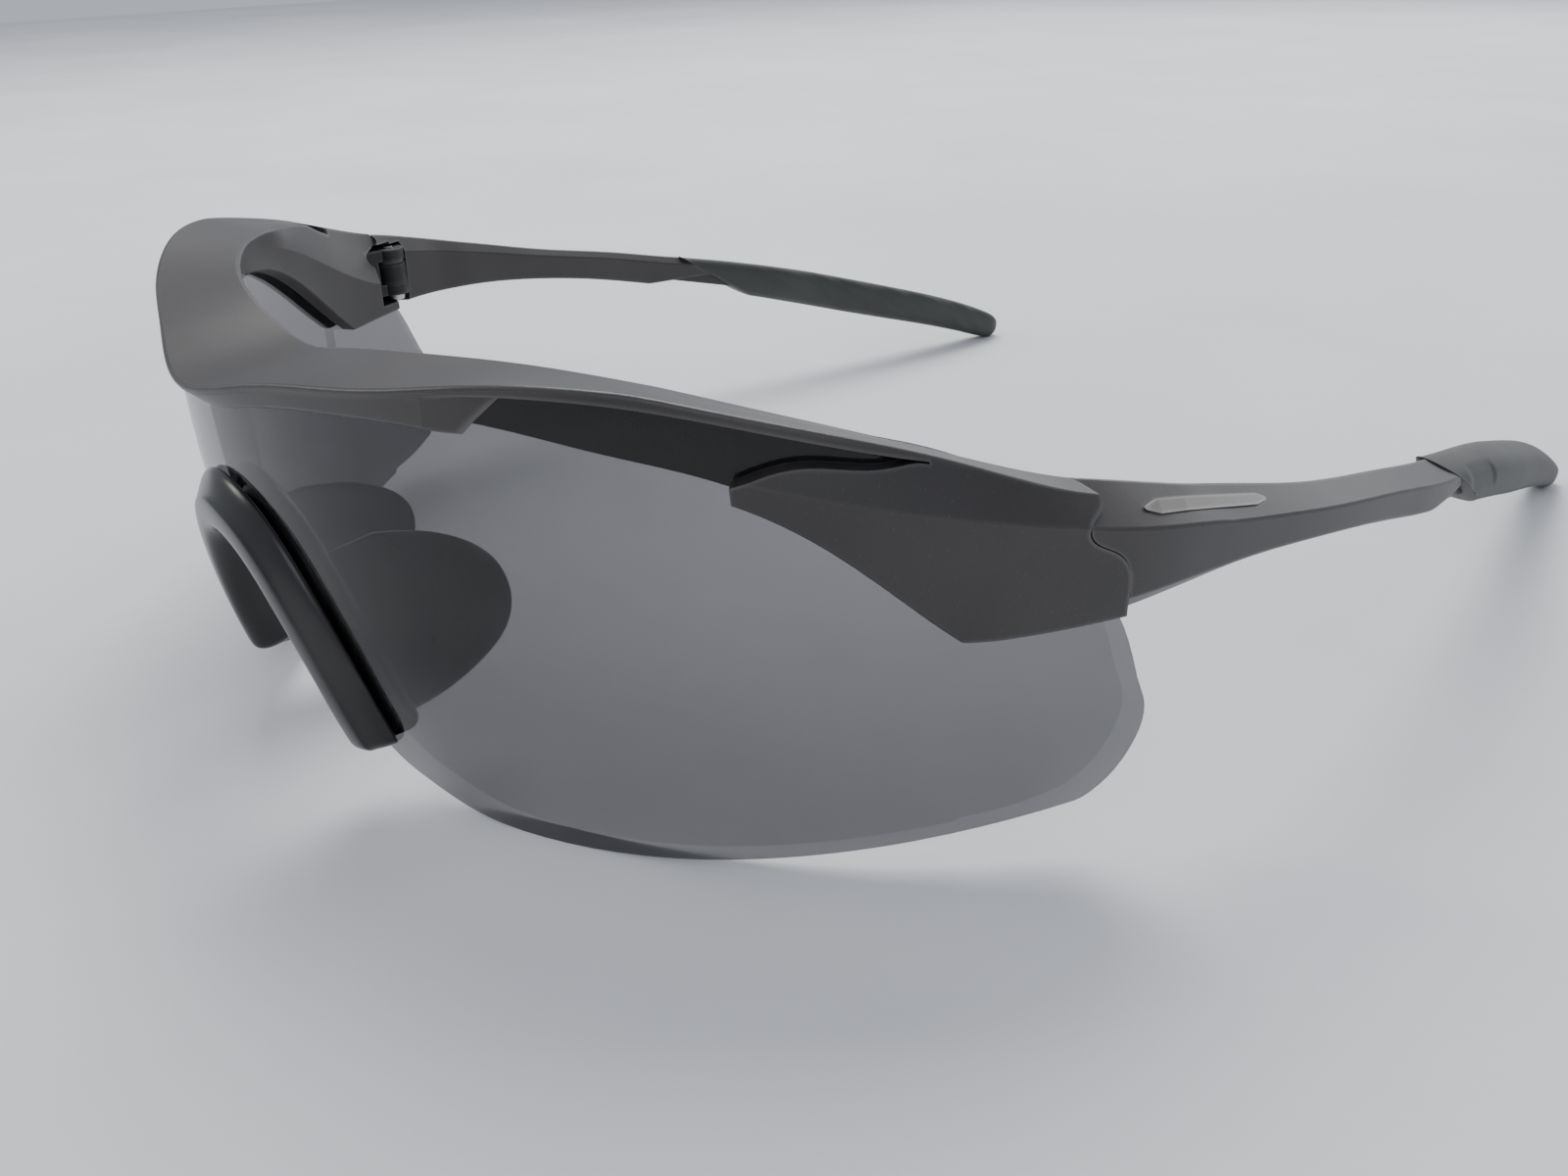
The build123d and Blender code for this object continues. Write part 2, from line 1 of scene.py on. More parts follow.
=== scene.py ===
"""Wrap-around shield sunglasses with a smoked lens, standing on a pale floor.

The glasses face -y with +z up, so the wearer's left is +x. Sizes are in millimetres and
become metres on entering a mesh; materials, floor and lights are in metres. Tables count
y backwards from a plane at the front of the lens, Y_SHIFT in front of the scene's origin.
"""
import json
import math

import bmesh
import bpy
from mathutils import Matrix, Vector


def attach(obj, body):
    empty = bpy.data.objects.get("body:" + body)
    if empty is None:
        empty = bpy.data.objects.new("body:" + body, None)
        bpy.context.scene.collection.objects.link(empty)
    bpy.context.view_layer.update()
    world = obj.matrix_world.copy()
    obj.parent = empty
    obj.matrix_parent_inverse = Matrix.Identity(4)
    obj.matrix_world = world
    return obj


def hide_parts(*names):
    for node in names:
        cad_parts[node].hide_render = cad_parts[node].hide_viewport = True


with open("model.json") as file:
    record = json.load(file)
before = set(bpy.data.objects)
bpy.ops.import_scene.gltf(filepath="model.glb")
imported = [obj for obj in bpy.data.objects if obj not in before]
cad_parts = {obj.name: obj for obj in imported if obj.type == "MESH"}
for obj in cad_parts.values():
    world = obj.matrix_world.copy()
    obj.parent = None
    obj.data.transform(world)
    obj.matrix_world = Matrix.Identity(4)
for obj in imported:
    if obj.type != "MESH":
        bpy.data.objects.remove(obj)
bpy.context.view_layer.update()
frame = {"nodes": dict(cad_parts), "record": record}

MM = 0.001
Y_SHIFT = 75.4655
SIDES = (("left", 1), ("right", -1))
NODES = frame["nodes"]


# ------------------------------------------------------------------ material builder
class Mat:
    """Builds one procedural material; its methods return output sockets."""

    def __init__(self, name):
        self.material = bpy.data.materials.new(name)
        self.material.use_nodes = True
        self.tree = self.material.node_tree
        self.tree.nodes.clear()
        self.output = self.node("ShaderNodeOutputMaterial")
        self.coords = self.node("ShaderNodeTexCoord").outputs["Object"]

    def node(self, kind, inputs=None, **settings):
        """Add a node; inputs maps a socket's name or index to a socket or a value."""
        node = self.tree.nodes.new(kind)
        for key, value in settings.items():
            setattr(node, key, value)
        for key, value in (inputs or {}).items():
            if isinstance(value, bpy.types.NodeSocket):
                self.tree.links.new(value, node.inputs[key])
            else:
                is_color = isinstance(value, tuple)
                node.inputs[key].default_value = (*value, 1.0) if is_color else value
        return node

    def noise(self, scale, detail=4.0, rough=0.55):
        return self.node("ShaderNodeTexNoise", {
            "Scale": scale, "Detail": detail, "Roughness": rough,
            "Vector": self.coords}).outputs["Fac"]

    def ramp(self, factor, low, high):
        """Two-stop ramp; each stop is (position, grey or colour)."""
        node = self.node("ShaderNodeValToRGB", {"Fac": factor})
        for element, (position, color) in zip(node.color_ramp.elements, (low, high)):
            element.position = position
            rgb = color if isinstance(color, tuple) else (color,) * 3
            element.color = (*rgb, 1.0)
        return node.outputs["Color"]

    def math(self, operation, first, second=None, clamp=False):
        inputs = {0: first} if second is None else {0: first, 1: second}
        return self.node("ShaderNodeMath", inputs,
                         operation=operation, use_clamp=clamp).outputs[0]

    def mix(self, factor, under, over):
        # the mix node's colour sockets are inputs 6 and 7 and output 2
        return self.node("ShaderNodeMix", {0: factor, 6: under, 7: over},
                         data_type="RGBA").outputs[2]

    def mix_shader(self, factor, under, over):
        return self.node("ShaderNodeMixShader",
                         {"Fac": factor, 1: under, 2: over}).outputs[0]

    def edge(self, radius, gain):
        """0 on flats, towards 1 on tight edges."""
        bevel = self.node("ShaderNodeBevel", {"Radius": radius}, samples=4)
        geometry = self.node("ShaderNodeNewGeometry")
        dot = self.node("ShaderNodeVectorMath", {
            0: bevel.outputs["Normal"], 1: geometry.outputs["True Normal"]},
            operation="DOT_PRODUCT")
        bend = self.math("SUBTRACT", 1.0, dot.outputs["Value"])
        return self.math("MULTIPLY", bend, gain, clamp=True)

    def outside(self):
        """1 where a face is seen from its outer side, 0 from behind."""
        geometry = self.node("ShaderNodeNewGeometry")
        return self.math("SUBTRACT", 1.0, geometry.outputs["Backfacing"])

    def bump(self, height, strength, distance):
        return self.node("ShaderNodeBump", {
            "Strength": strength, "Distance": distance, "Height": height}).outputs["Normal"]

    def principled(self, color, rough, normal, metallic=0.0, spec=0.5):
        return self.node("ShaderNodeBsdfPrincipled", {
            "Base Color": color, "Roughness": rough, "Metallic": metallic,
            "Specular IOR Level": spec, "Coat Roughness": 0.1, "Normal": normal}).outputs[0]

    def done(self, shader):
        self.tree.links.new(shader, self.output.inputs["Surface"])
        return self.material


# ------------------------------------------------------------------ materials
def plastic(name, base, light, fleck_and_highlight, rough, edge_highlight, bump, metallic=0.0, spec=0.5):
    """Cloudy base-to-light colour with fine flecks; a painted highlight lightens the edges."""
    mat = Mat(name)
    clouds = mat.noise(90.0, detail=3.0)
    grain = mat.noise(5200.0, detail=2.0, rough=0.6)
    color = mat.ramp(clouds, (0.3, base), (0.72, light))
    flecks = mat.ramp(grain, (0.66, 0.0), (0.78, 1.0))
    color = mat.mix(mat.math("MULTIPLY", flecks, 0.35), color, fleck_and_highlight)
    # painted highlight: tight edges are lightened towards the fleck colour, standing in for
    # light caught on them
    edge = mat.edge(radius=0.0005, gain=6.0)
    color = mat.mix(mat.math("MULTIPLY", edge, edge_highlight), color, fleck_and_highlight)
    # smudges vary the roughness, and edges are rubbed smoother
    smudge = mat.noise(40.0, detail=4.0, rough=0.6)
    roughness = mat.math("ADD", mat.math("MULTIPLY", smudge, 0.12), rough - 0.05)
    roughness = mat.math("SUBTRACT", roughness, mat.math("MULTIPLY", edge, 0.06))
    texture = mat.noise(3800.0, detail=3.0, rough=0.6)
    normal = mat.bump(texture, strength=bump, distance=0.00004)
    return mat.done(mat.principled(color, roughness, normal, metallic=metallic, spec=spec))


def lens_material():
    """Smoked clear sheet, darker at grazing angles, mirroring only on its outer face."""
    mat = Mat("smoke_lens")
    # Facing is 0 straight on and 1 at grazing angles
    facing = mat.node("ShaderNodeLayerWeight", {"Blend": 0.5}).outputs["Facing"]
    cos_view = mat.math("MAXIMUM", mat.math("SUBTRACT", 1.0, facing), 0.22)
    # the path through the tint grows with the angle inside the material
    sin_squared = mat.math("SUBTRACT", 1.0, mat.math("MULTIPLY", cos_view, cos_view))
    bent = mat.math("MULTIPLY", sin_squared, 0.40)
    cos_inside = mat.math("SQRT", mat.math("SUBTRACT", 1.0, bent))
    path = mat.math("DIVIDE", 1.0, cos_inside)
    cloud = mat.noise(25.0, detail=2.0)
    tint = {}
    for i, clear in enumerate((0.462, 0.462, 0.475)):  # light let through: red, green, blue
        drift = mat.math("MULTIPLY", mat.math("SUBTRACT", cloud, 0.5), 0.02)
        tint[i] = mat.math("POWER", mat.math("ADD", clear, drift), path)
    tint_color = mat.node("ShaderNodeCombineColor", tint).outputs[0]
    through = mat.node("ShaderNodeBsdfTransparent", {"Color": tint_color}).outputs[0]

    scuffs = mat.noise(160.0, detail=5.0, rough=0.7)
    waves = mat.noise(30.0, detail=2.0)
    mirror = mat.node("ShaderNodeBsdfGlossy", {
        "Color": (1, 1, 1),
        "Roughness": mat.ramp(scuffs, (0.45, 0.015), (0.85, 0.06)),
        "Normal": mat.bump(waves, strength=0.02, distance=0.00005)}).outputs[0]
    # a mirroring inner face would double the highlight
    fresnel = mat.node("ShaderNodeFresnel", {"IOR": 1.5}).outputs[0]
    reflection = mat.math("MULTIPLY", mat.math("MULTIPLY", fresnel, 0.75), mat.outside())
    glass = mat.mix_shader(reflection, through, mirror)

    # faint haze of dust and fine scratches
    dust = mat.node("ShaderNodeBsdfDiffuse", {"Color": (0.05, 0.05, 0.052)}).outputs[0]
    patches = mat.ramp(mat.noise(240.0, detail=2.0, rough=0.6), (0.45, 0.0), (0.80, 1.0))
    haze = mat.math("ADD", mat.math("MULTIPLY", patches, 0.02), 0.02)
    return mat.done(mat.mix_shader(haze, glass, dust))


def rim_material():
    """Cut and polished rim of the lens: mostly clear from inside, satin from outside."""
    mat = Mat("smoke_lens_rim")
    color = mat.ramp(mat.noise(300.0, detail=3.0),
                     (0.3, (0.07, 0.07, 0.073)), (0.75, (0.12, 0.12, 0.125)))
    normal = mat.bump(mat.noise(900.0, detail=2.0), strength=0.1, distance=0.00003)
    roughness = mat.ramp(mat.noise(150.0, detail=3.0), (0.3, 0.22), (0.8, 0.4))
    solid = mat.principled(color, roughness, normal, spec=0.6)
    clear = mat.node("ShaderNodeBsdfTransparent", {"Color": (0.52, 0.52, 0.53)}).outputs[0]
    # 6 % solid from inside, 40 % from outside
    solidity = mat.math("ADD", 0.06, mat.math("MULTIPLY", mat.outside(), 0.34))
    return mat.done(mat.mix_shader(solidity, clear, solid))


def floor_material():
    mat = Mat("floor_pale")
    color = mat.ramp(mat.noise(9.0, detail=5.0, rough=0.6),
                     (0.3, (0.70, 0.71, 0.735)), (0.72, (0.80, 0.81, 0.835)))
    normal = mat.bump(mat.noise(900.0, detail=3.0, rough=0.6), strength=0.25, distance=0.0001)
    return mat.done(mat.principled(color, 0.9, normal, spec=0.1))


# in each finish the edge-lightening amount sets a painted highlight on tight edges, drawn in
# the fleck colour
# each finish is named after the material slot it fills, save the brow's glossy wall
FINISHES = {
    "frame_plastic": dict(
        base=(0.0225, 0.0203, 0.0205), light=(0.033, 0.0300, 0.0302), fleck_and_highlight=(0.17, 0.16, 0.16),
        rough=0.40, spec=0.55, edge_highlight=0.42, bump=0.22),
    "frame_wall_gloss": dict(
        base=(0.008, 0.008, 0.008), light=(0.012, 0.012, 0.012), fleck_and_highlight=(0.02, 0.02, 0.02),
        rough=0.30, spec=0.4, edge_highlight=0.1, bump=0.03),
    "grip_rubber": dict(
        base=(0.034, 0.036, 0.034), light=(0.048, 0.051, 0.048), fleck_and_highlight=(0.11, 0.112, 0.11),
        rough=0.55, spec=0.4, edge_highlight=0.2, bump=0.35),
    "nose_rubber": dict(
        base=(0.008, 0.0085, 0.0085), light=(0.014, 0.015, 0.015), fleck_and_highlight=(0.05, 0.05, 0.05),
        rough=0.25, edge_highlight=0.15, bump=0.08),
    "badge_gloss": dict(
        base=(0.11, 0.108, 0.10), light=(0.16, 0.156, 0.145), fleck_and_highlight=(0.34, 0.33, 0.31),
        rough=0.34, metallic=0.5, edge_highlight=0.4, bump=0.06),
    # the near-black base and light colours are partly the dark hinge metal and partly painted
    # shade, for the hinge in the frame's shaded inside
    "hinge_metal": dict(
        base=(0.012, 0.012, 0.0125), light=(0.020, 0.020, 0.021), fleck_and_highlight=(0.14, 0.14, 0.145),
        rough=0.42, metallic=0.3, edge_highlight=0.4, bump=0.12),
    "spring_steel": dict(
        base=(0.36, 0.36, 0.38), light=(0.52, 0.52, 0.54), fleck_and_highlight=(0.75, 0.75, 0.76),
        rough=0.28, metallic=1.0, edge_highlight=0.4, bump=0.12),
    "washer_nylon": dict(
        base=(0.035, 0.035, 0.035), light=(0.055, 0.055, 0.055), fleck_and_highlight=(0.12, 0.12, 0.12),
        rough=0.5, edge_highlight=0.2, bump=0.1),
}
MATERIALS = {name: plastic(name, **finish) for name, finish in FINISHES.items()}
MATERIALS["smoke_lens"] = lens_material()
MAT_RIM = rim_material()

for subpart in frame["record"]["subparts"]:
    slots = NODES[subpart["node"]].data.materials
    slots.clear()
    slots.append(MATERIALS[subpart["material_slot"]])

# ------------------------------------------------------------------ lens surface
# The lens's outer surface is part of a torus whose axis leans forward by TILT.
TILT = math.radians(4.39)
RADIUS_ACROSS = 68.8     # curvature around the face
RADIUS_UPRIGHT = 103.1   # curvature from top to bottom
LENS_FRONT_Y, LENS_FRONT_Z = -0.43, 23.4
TORUS_RING = RADIUS_ACROSS - RADIUS_UPRIGHT
TORUS_CENTRE = Vector((0, LENS_FRONT_Y + RADIUS_ACROSS * math.cos(TILT) - Y_SHIFT,
                       LENS_FRONT_Z + RADIUS_ACROSS * math.sin(TILT)))
TORUS_AXIS = Vector((0, -math.sin(TILT), math.cos(TILT)))


def from_axis(point):
    """Vector from the torus's axis to a point (mm), and its height along the axis."""
    offset = point - TORUS_CENTRE
    height = offset.dot(TORUS_AXIS)
    return offset - TORUS_AXIS * height, height


def torus_normal(point):
    """Outward normal of the lens surface near a point."""
    radial, height = from_axis(point)
    distance = radial.length
    return (radial / distance * (distance - TORUS_RING) + TORUS_AXIS * height).normalized()


def torus_gap(point):
    """Distance of a point outside (+) or inside (-) the lens's outer surface."""
    radial, height = from_axis(point)
    return math.hypot(radial.length - TORUS_RING, height) - RADIUS_UPRIGHT


def lens_point(x, z, offset=0.0):
    """Point at x, z on the front of the lens surface, moved outward by offset."""
    front, rear = -90.0, TORUS_CENTRE.y
    for _ in range(50):
        middle = 0.5 * (front + rear)
        if torus_gap(Vector((x, middle, z))) - offset > 0:
            front = middle
        else:
            rear = middle
    return Vector((x, 0.5 * (front + rear), z))


def finish_faces(part, material, chosen):
    """Give a second material to the faces for which chosen(centre in mm, normal) holds."""
    mesh = NODES[part].data
    mesh.materials.append(material)
    for poly in mesh.polygons:
        if chosen(poly.center / MM, poly.normal):
            poly.material_index = 1


# the rim: faces that lie across the lens surface
finish_faces("shield_lens", MAT_RIM,
             lambda centre, normal: abs(normal.dot(torus_normal(centre))) < 0.6)
# the smooth wall of the brow that the lens lies against
finish_faces("brow_frame", MATERIALS["frame_wall_gloss"],
             lambda centre, normal: (-2.6 < torus_gap(centre) < -1.5
                                     and normal.dot(torus_normal(centre)) > 0.9))


# ------------------------------------------------------------------ mesh helpers
def scaled(point):
    return Vector(point) * MM


def add_object(name, mesh, material):
    obj = bpy.data.objects.new(name, mesh)
    bpy.context.collection.objects.link(obj)
    mesh.materials.append(material)
    return obj


def new_mesh(name, verts, faces, material, subsurf=0):
    """Smooth-shaded object with its normals facing out."""
    mesh = bpy.data.meshes.new(name)
    mesh.from_pydata([tuple(v) for v in verts], [], faces)
    bm = bmesh.new()
    bm.from_mesh(mesh)
    bmesh.ops.recalc_face_normals(bm, faces=bm.faces)
    bm.to_mesh(mesh)
    bm.free()
    for poly in mesh.polygons:
        poly.use_smooth = True
    obj = add_object(name, mesh, material)
    if subsurf:
        modifier = obj.modifiers.new("smooth", "SUBSURF")
        modifier.levels = subsurf
        modifier.render_levels = subsurf
    return obj


def rings_mesh(name, rings, material, subsurf=0):
    """Skin closed rings of equal length and cap each end with one face."""
    count = len(rings[0])
    faces = []
    for k in range(len(rings) - 1):
        for j in range(count):
            a, b = k * count + j, k * count + (j + 1) % count
            faces.append((a, b, b + count, a + count))
    faces.append(tuple(range(count - 1, -1, -1)))
    faces.append(tuple((len(rings) - 1) * count + j for j in range(count)))
    return new_mesh(name, [v for ring in rings for v in ring], faces, material, subsurf)


def catmull(points, steps):
    """Uniform Catmull-Rom curve through the points, with so many steps per span."""
    knots = [Vector(p) for p in points]
    knots = [knots[0] * 2 - knots[1]] + knots + [knots[-1] * 2 - knots[-2]]
    curve = []
    for i in range(1, len(knots) - 2):
        a, b, c, d = knots[i - 1:i + 3]
        for k in range(steps):
            t = k / steps
            curve.append(0.5 * ((2 * b) + (c - a) * t + (2 * a - 5 * b + 4 * c - d) * t * t
                                + (3 * b - a - 3 * c + d) * t ** 3))
    curve.append(knots[-2].copy())
    return curve


def resample(points, count):
    """So many points evenly spaced along a polyline."""
    lengths = [0.0]
    for a, b in zip(points, points[1:]):
        lengths.append(lengths[-1] + (b - a).length)
    out = []
    j = 0
    for k in range(count):
        target = lengths[-1] * k / (count - 1)
        while j < len(lengths) - 2 and lengths[j + 1] < target:
            j += 1
        t = (target - lengths[j]) / max(lengths[j + 1] - lengths[j], 1e-9)
        out.append(points[j].lerp(points[j + 1], min(max(t, 0.0), 1.0)))
    return out


def interpolate(table, y):
    """Smooth values at y from a table of (y, values...), held constant past its ends."""
    if y <= table[0][0]:
        return table[0][1:]
    if y >= table[-1][0]:
        return table[-1][1:]
    k = max(i for i in range(len(table) - 1) if table[i][0] <= y)
    span = table[k + 1][0] - table[k][0]
    t = (y - table[k][0]) / span

    def tangent(before, after, column):
        rise = table[after][column] - table[before][column]
        return rise / (table[after][0] - table[before][0]) * span

    values = []
    for column in range(1, len(table[0])):
        p1, p2 = table[k][column], table[k + 1][column]
        m1 = tangent(k - 1, k + 1, column) if k > 0 else p2 - p1
        m2 = tangent(k, k + 2, column) if k + 2 < len(table) else p2 - p1
        values.append((2 * t ** 3 - 3 * t ** 2 + 1) * p1 + (t ** 3 - 2 * t ** 2 + t) * m1
                      + (-2 * t ** 3 + 3 * t ** 2) * p2 + (t ** 3 - t ** 2) * m2)
    return values


def register(obj, part, rides_with):
    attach(obj, rides_with)
    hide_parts(part)


# ------------------------------------------------------------------ nosepiece saddle
# left half of the lens's nose notch, from its lower end up to the middle: (x, z)
NOTCH = [(13.55, 7.3), (13.1, 9.6), (12.4, 13.4), (11.2, 17.0),
         (9.4, 20.6), (7.2, 23.6), (4.2, 25.7), (0, 26.6)]
# cross-section: (away from the notch, forward of the lens surface)
SADDLE_PROFILE = [
    (-1.7, -2.7), (-2.45, -1.7), (-2.8, -0.3), (-2.78, 1.0), (-2.45, 1.95), (-1.8, 2.4),
    (-0.8, 2.52), (0.2, 2.48), (0.72, 2.36), (0.86, 2.16), (1.5, 1.78), (2.3, 1.28),
    (2.9, 0.8), (3.08, 0.4), (2.95, 0.06), (1.2, 0.05), (0.08, 0.05), (0.08, -1.0),
    (0.08, -2.06), (1.4, -2.06), (2.5, -2.07), (2.75, -2.5), (2.3, -3.1), (0.9, -3.4),
    (-0.6, -3.3)]
PROFILE_MIDDLE = (0.1, -0.5)   # the rounded ends shrink about this point
# rounded ends, outermost first: (distance past the path's end, scale of the profile)
SADDLE_ENDS = [(1.25, 0.62), (1.0, 0.86), (0.45, 0.98)]


def saddle_ring(station, shift=0.0, scale=1.0):
    point, along, away, forward = station
    mid_away, mid_forward = PROFILE_MIDDLE
    return [scaled(point + along * shift + away * (mid_away + (a - mid_away) * scale)
                   + forward * (mid_forward + (f - mid_forward) * scale))
            for a, f in SADDLE_PROFILE]


def saddle():
    outline = NOTCH + [(-x, z) for x, z in reversed(NOTCH[:-1])]
    path = resample(catmull([(x, 0, z) for x, z in outline], 12), 61)
    points = [lens_point(p.x, p.z) for p in path]
    last = len(points) - 1
    stations = []
    for k, point in enumerate(points):
        along = (points[min(k + 1, last)] - points[max(k - 1, 0)]).normalized()
        forward = torus_normal(point)
        away = -forward.cross(along).normalized()
        stations.append((point, along, away, forward))
    rings = [saddle_ring(stations[0], -shift, scale) for shift, scale in SADDLE_ENDS]
    rings += [saddle_ring(station) for station in stations]
    rings += [saddle_ring(stations[-1], shift, scale)
              for shift, scale in reversed(SADDLE_ENDS)]
    return rings_mesh("nosepiece_saddle_visual", rings, MATERIALS["nose_rubber"], subsurf=2)


register(saddle(), "nosepiece_saddle", "front")

# ------------------------------------------------------------------ nose pads
# root of the left pad along the lens (x, z), and its free rear edge (x, y, z)
PAD_BASE = [(13.35, 7.4), (13.0, 9.6), (12.3, 13.4), (11.1, 17.0), (9.4, 20.4), (7.6, 22.8)]
PAD_REAR = [(12.3, 7.2, 7.4), (12.2, 11.6, 8.2), (11.7, 15.6, 9.6), (11.2, 18.4, 11.4),
            (10.7, 19.6, 13.6), (10.0, 19.7, 16.2), (9.2, 18.4, 18.9), (8.5, 15.6, 21.1),
            (8.0, 11.8, 22.7), (7.7, 8.2, 23.5)]
PAD_ROWS = 12         # steps from root to rear edge
PAD_COLUMNS = 17      # points along each row
PAD_ROOT_DEPTH = 2.9  # the root lies this far inside the lens's outer surface
PAD_BULGE = 0.9


def pad_grid():
    """Middle surface of the left pad, as rows from its root to its rear edge."""
    base = resample(catmull([(x, 0, z) for x, z in PAD_BASE], 8), PAD_COLUMNS)
    base = [lens_point(p.x, p.z, -PAD_ROOT_DEPTH) for p in base]
    rear = resample(catmull([(x, y - Y_SHIFT, z) for x, y, z in PAD_REAR], 8), PAD_COLUMNS)
    grid = []
    for i in range(PAD_ROWS + 1):
        u = i / PAD_ROWS
        row = []
        for j in range(PAD_COLUMNS):
            v = j / (PAD_COLUMNS - 1)
            bulge = math.sin(math.pi * u) * math.sin(math.pi * v)
            row.append(base[j].lerp(rear[j], u) + Vector((PAD_BULGE * bulge, 0, 0)))
        grid.append(row)
    return grid


def pad(side, sign):
    grid = pad_grid()
    rows, columns = PAD_ROWS, PAD_COLUMNS
    verts, faces = [], []
    for face_sign in (-1, 1):
        for i, row in enumerate(grid):
            u = i / rows
            for j, point in enumerate(row):
                v = j / (columns - 1)
                to_edge = min(v, 1 - v, 1 - u)
                # thins towards the rear and, more sharply, at the free edges
                half = (1.45 - 0.45 * u) * min(1.0, 0.42 + 3.4 * to_edge) * 0.5
                down = grid[min(i + 1, rows)][j] - grid[max(i - 1, 0)][j]
                across = row[min(j + 1, columns - 1)] - row[max(j - 1, 0)]
                q = point + down.cross(across).normalized() * (face_sign * half)
                verts.append(scaled((q.x * sign, q.y, q.z)))
    other = (rows + 1) * columns   # index offset of the second face's vertices
    for i in range(rows):
        for j in range(columns - 1):
            a = i * columns + j
            faces.append((a, a + 1, a + columns + 1, a + columns))
            a += other
            faces.append((a, a + columns, a + columns + 1, a + 1))
    # a wall around the border joins the two faces
    border = (list(range(columns))
              + [i * columns + columns - 1 for i in range(1, rows + 1)]
              + [rows * columns + j for j in range(columns - 2, -1, -1)]
              + [i * columns for i in range(rows - 1, 0, -1)])
    for a, b in zip(border, border[1:] + border[:1]):
        faces.append((a, b, b + other, a + other))
    return new_mesh("nose_pad_%s_visual" % side, verts, faces, MATERIALS["nose_rubber"], 2)


for side, sign in SIDES:
    register(pad(side, sign), "nose_pad_" + side, "front")

# ------------------------------------------------------------------ temple grips
# left temple sections: (y, top z, bottom z, z of the outer ridge, outer x, thickness)
GRIP = [
    (89.0, 24.2, 18.9, 22.3, 65.7, 4.7), (98.0, 22.3, 16.5, 20.4, 64.5, 5.0),
    (106.0, 20.4, 14.4, 18.5, 63.0, 5.2), (114.0, 18.3, 12.0, 16.4, 61.4, 5.4),
    (122.0, 15.9, 9.5, 13.9, 59.7, 5.5), (130.0, 13.4, 7.1, 11.4, 57.9, 5.5),
    (138.0, 10.8, 4.7, 8.8, 56.1, 5.3), (145.0, 8.2, 2.4, 6.3, 54.5, 4.9),
    (150.0, 6.0, 0.6, 4.2, 53.3, 4.3), (152.6, 4.6, 0.05, 3.0, 52.6, 3.5),
    (154.0, 3.5, 0.5, 2.4, 52.1, 2.4)]
TOP_INSET = 0.72       # the upper facet starts this share of the thickness inward
GRIP_START, GRIP_END = 96.4, 153.9
GRIP_STEPS = 150
SEAM_Z = 20.0          # height about which the slanted front end turns
SEAM_SLOPE = -1.518    # y per z of the front end
SLANT_SHARE = 0.28     # the slant dies out over this share of the length
SEAM_NORMAL = Vector((0, 0.55, 0.835)) * MM
RIB_START, RIB_END = 104, 150
PANEL_Y = (98.5, 108.5)
PANEL_HEIGHT = (0.36, 0.80)   # shares of the section's height
# rounded tip: (scale of the last section, distance behind it)
TIP = [(0.80, 0.35), (0.5, 0.6), (0.2, 0.68)]


def grip_section(y):
    """Six-sided section as (x, z) points, rounded by three rounds of corner cutting."""
    top, bottom, ridge, outer, thick = interpolate(GRIP, y)
    points = [(outer - TOP_INSET * thick, top), (outer, ridge),
              (outer - 0.15, bottom + 0.25 * (ridge - bottom)),
              (outer - 0.28 * thick, bottom), (outer - 0.9 * thick, bottom + 0.1),
              (outer - thick, top - 0.22 * (top - bottom))]
    for _ in range(3):
        cut = []
        for a, b in zip(points, points[1:] + points[:1]):
            dx, dz = b[0] - a[0], b[1] - a[1]
            cut.append((a[0] + dx * 0.25, a[1] + dz * 0.25))
            cut.append((b[0] - dx * 0.25, b[1] - dz * 0.25))
        points = cut
    return points


def fade(distance, width):
    return min(1.0, distance / width)


def rib_cut(inward, y, above, height):
    """Depth of the wavy ribs on the inner side; above is mm over the section's bottom."""
    if not (RIB_START < y < RIB_END and inward > 0):
        return 0.0
    run = y - RIB_START
    ends = fade(run, 3.0) * fade(RIB_END - y, 4.0)
    inner = (fade(inward, 1.2) * min(1.0, max(0.0, height - 0.06) * 6)
             * min(1.0, max(0.0, 0.94 - height) * 6))
    phase = run * 0.92 + 1.5 * above + 0.9 * math.sin(run * 0.45)
    wave = 0.5 + 0.5 * math.sin(phase) ** 3
    return 0.30 * ends * inner * wave - 0.10 * ends * inner


def panel_cut(inward, y, height):
    """Depth of the shallow inset panel on the outer side near the seam."""
    (y0, y1), (low, high) = PANEL_Y, PANEL_HEIGHT
    if not (inward < 0 and y0 < y < y1 and low < height < high):
        return 0.0
    ends = fade(y - y0, 0.7) * fade(y1 - y, 0.7)
    return 0.22 * (ends * (fade(height - low, 0.07) * fade(high - height, 0.07)))


def grip_ring(sign, share):
    """Ring of the grip at a share of its length."""
    y_ring = GRIP_START + (GRIP_END - GRIP_START) * share
    slant = SEAM_SLOPE * max(0.0, 1.0 - share / SLANT_SHARE)
    base = grip_section(y_ring)
    mid_x = sum(p[0] for p in base) / len(base)
    mid_z = sum(p[1] for p in base) / len(base)
    pivot_z = SEAM_Z + (mid_z - SEAM_Z) * min(1.0, share / SLANT_SHARE)
    ring = []
    for j in range(len(base)):
        y = y_ring
        # settle each point where the slanted ring meets the tapering section
        for _ in range(4):
            x, z = grip_section(y)[j]
            y = y_ring + slant * (z - pivot_z)
        top, bottom = interpolate(GRIP, y)[:2]
        height = (z - bottom) / max(top - bottom, 0.1)
        inward = mid_x - x
        x -= rib_cut(inward, y, z - bottom, height)
        x -= panel_cut(inward, y, height)
        ring.append(scaled((x * sign, y - Y_SHIFT, z)))
    return ring


def shrunk(ring, scale, shift):
    """The ring scaled about its centre and moved by a vector."""
    centre = sum(ring, Vector()) / len(ring)
    return [centre + (v - centre) * scale + shift for v in ring]


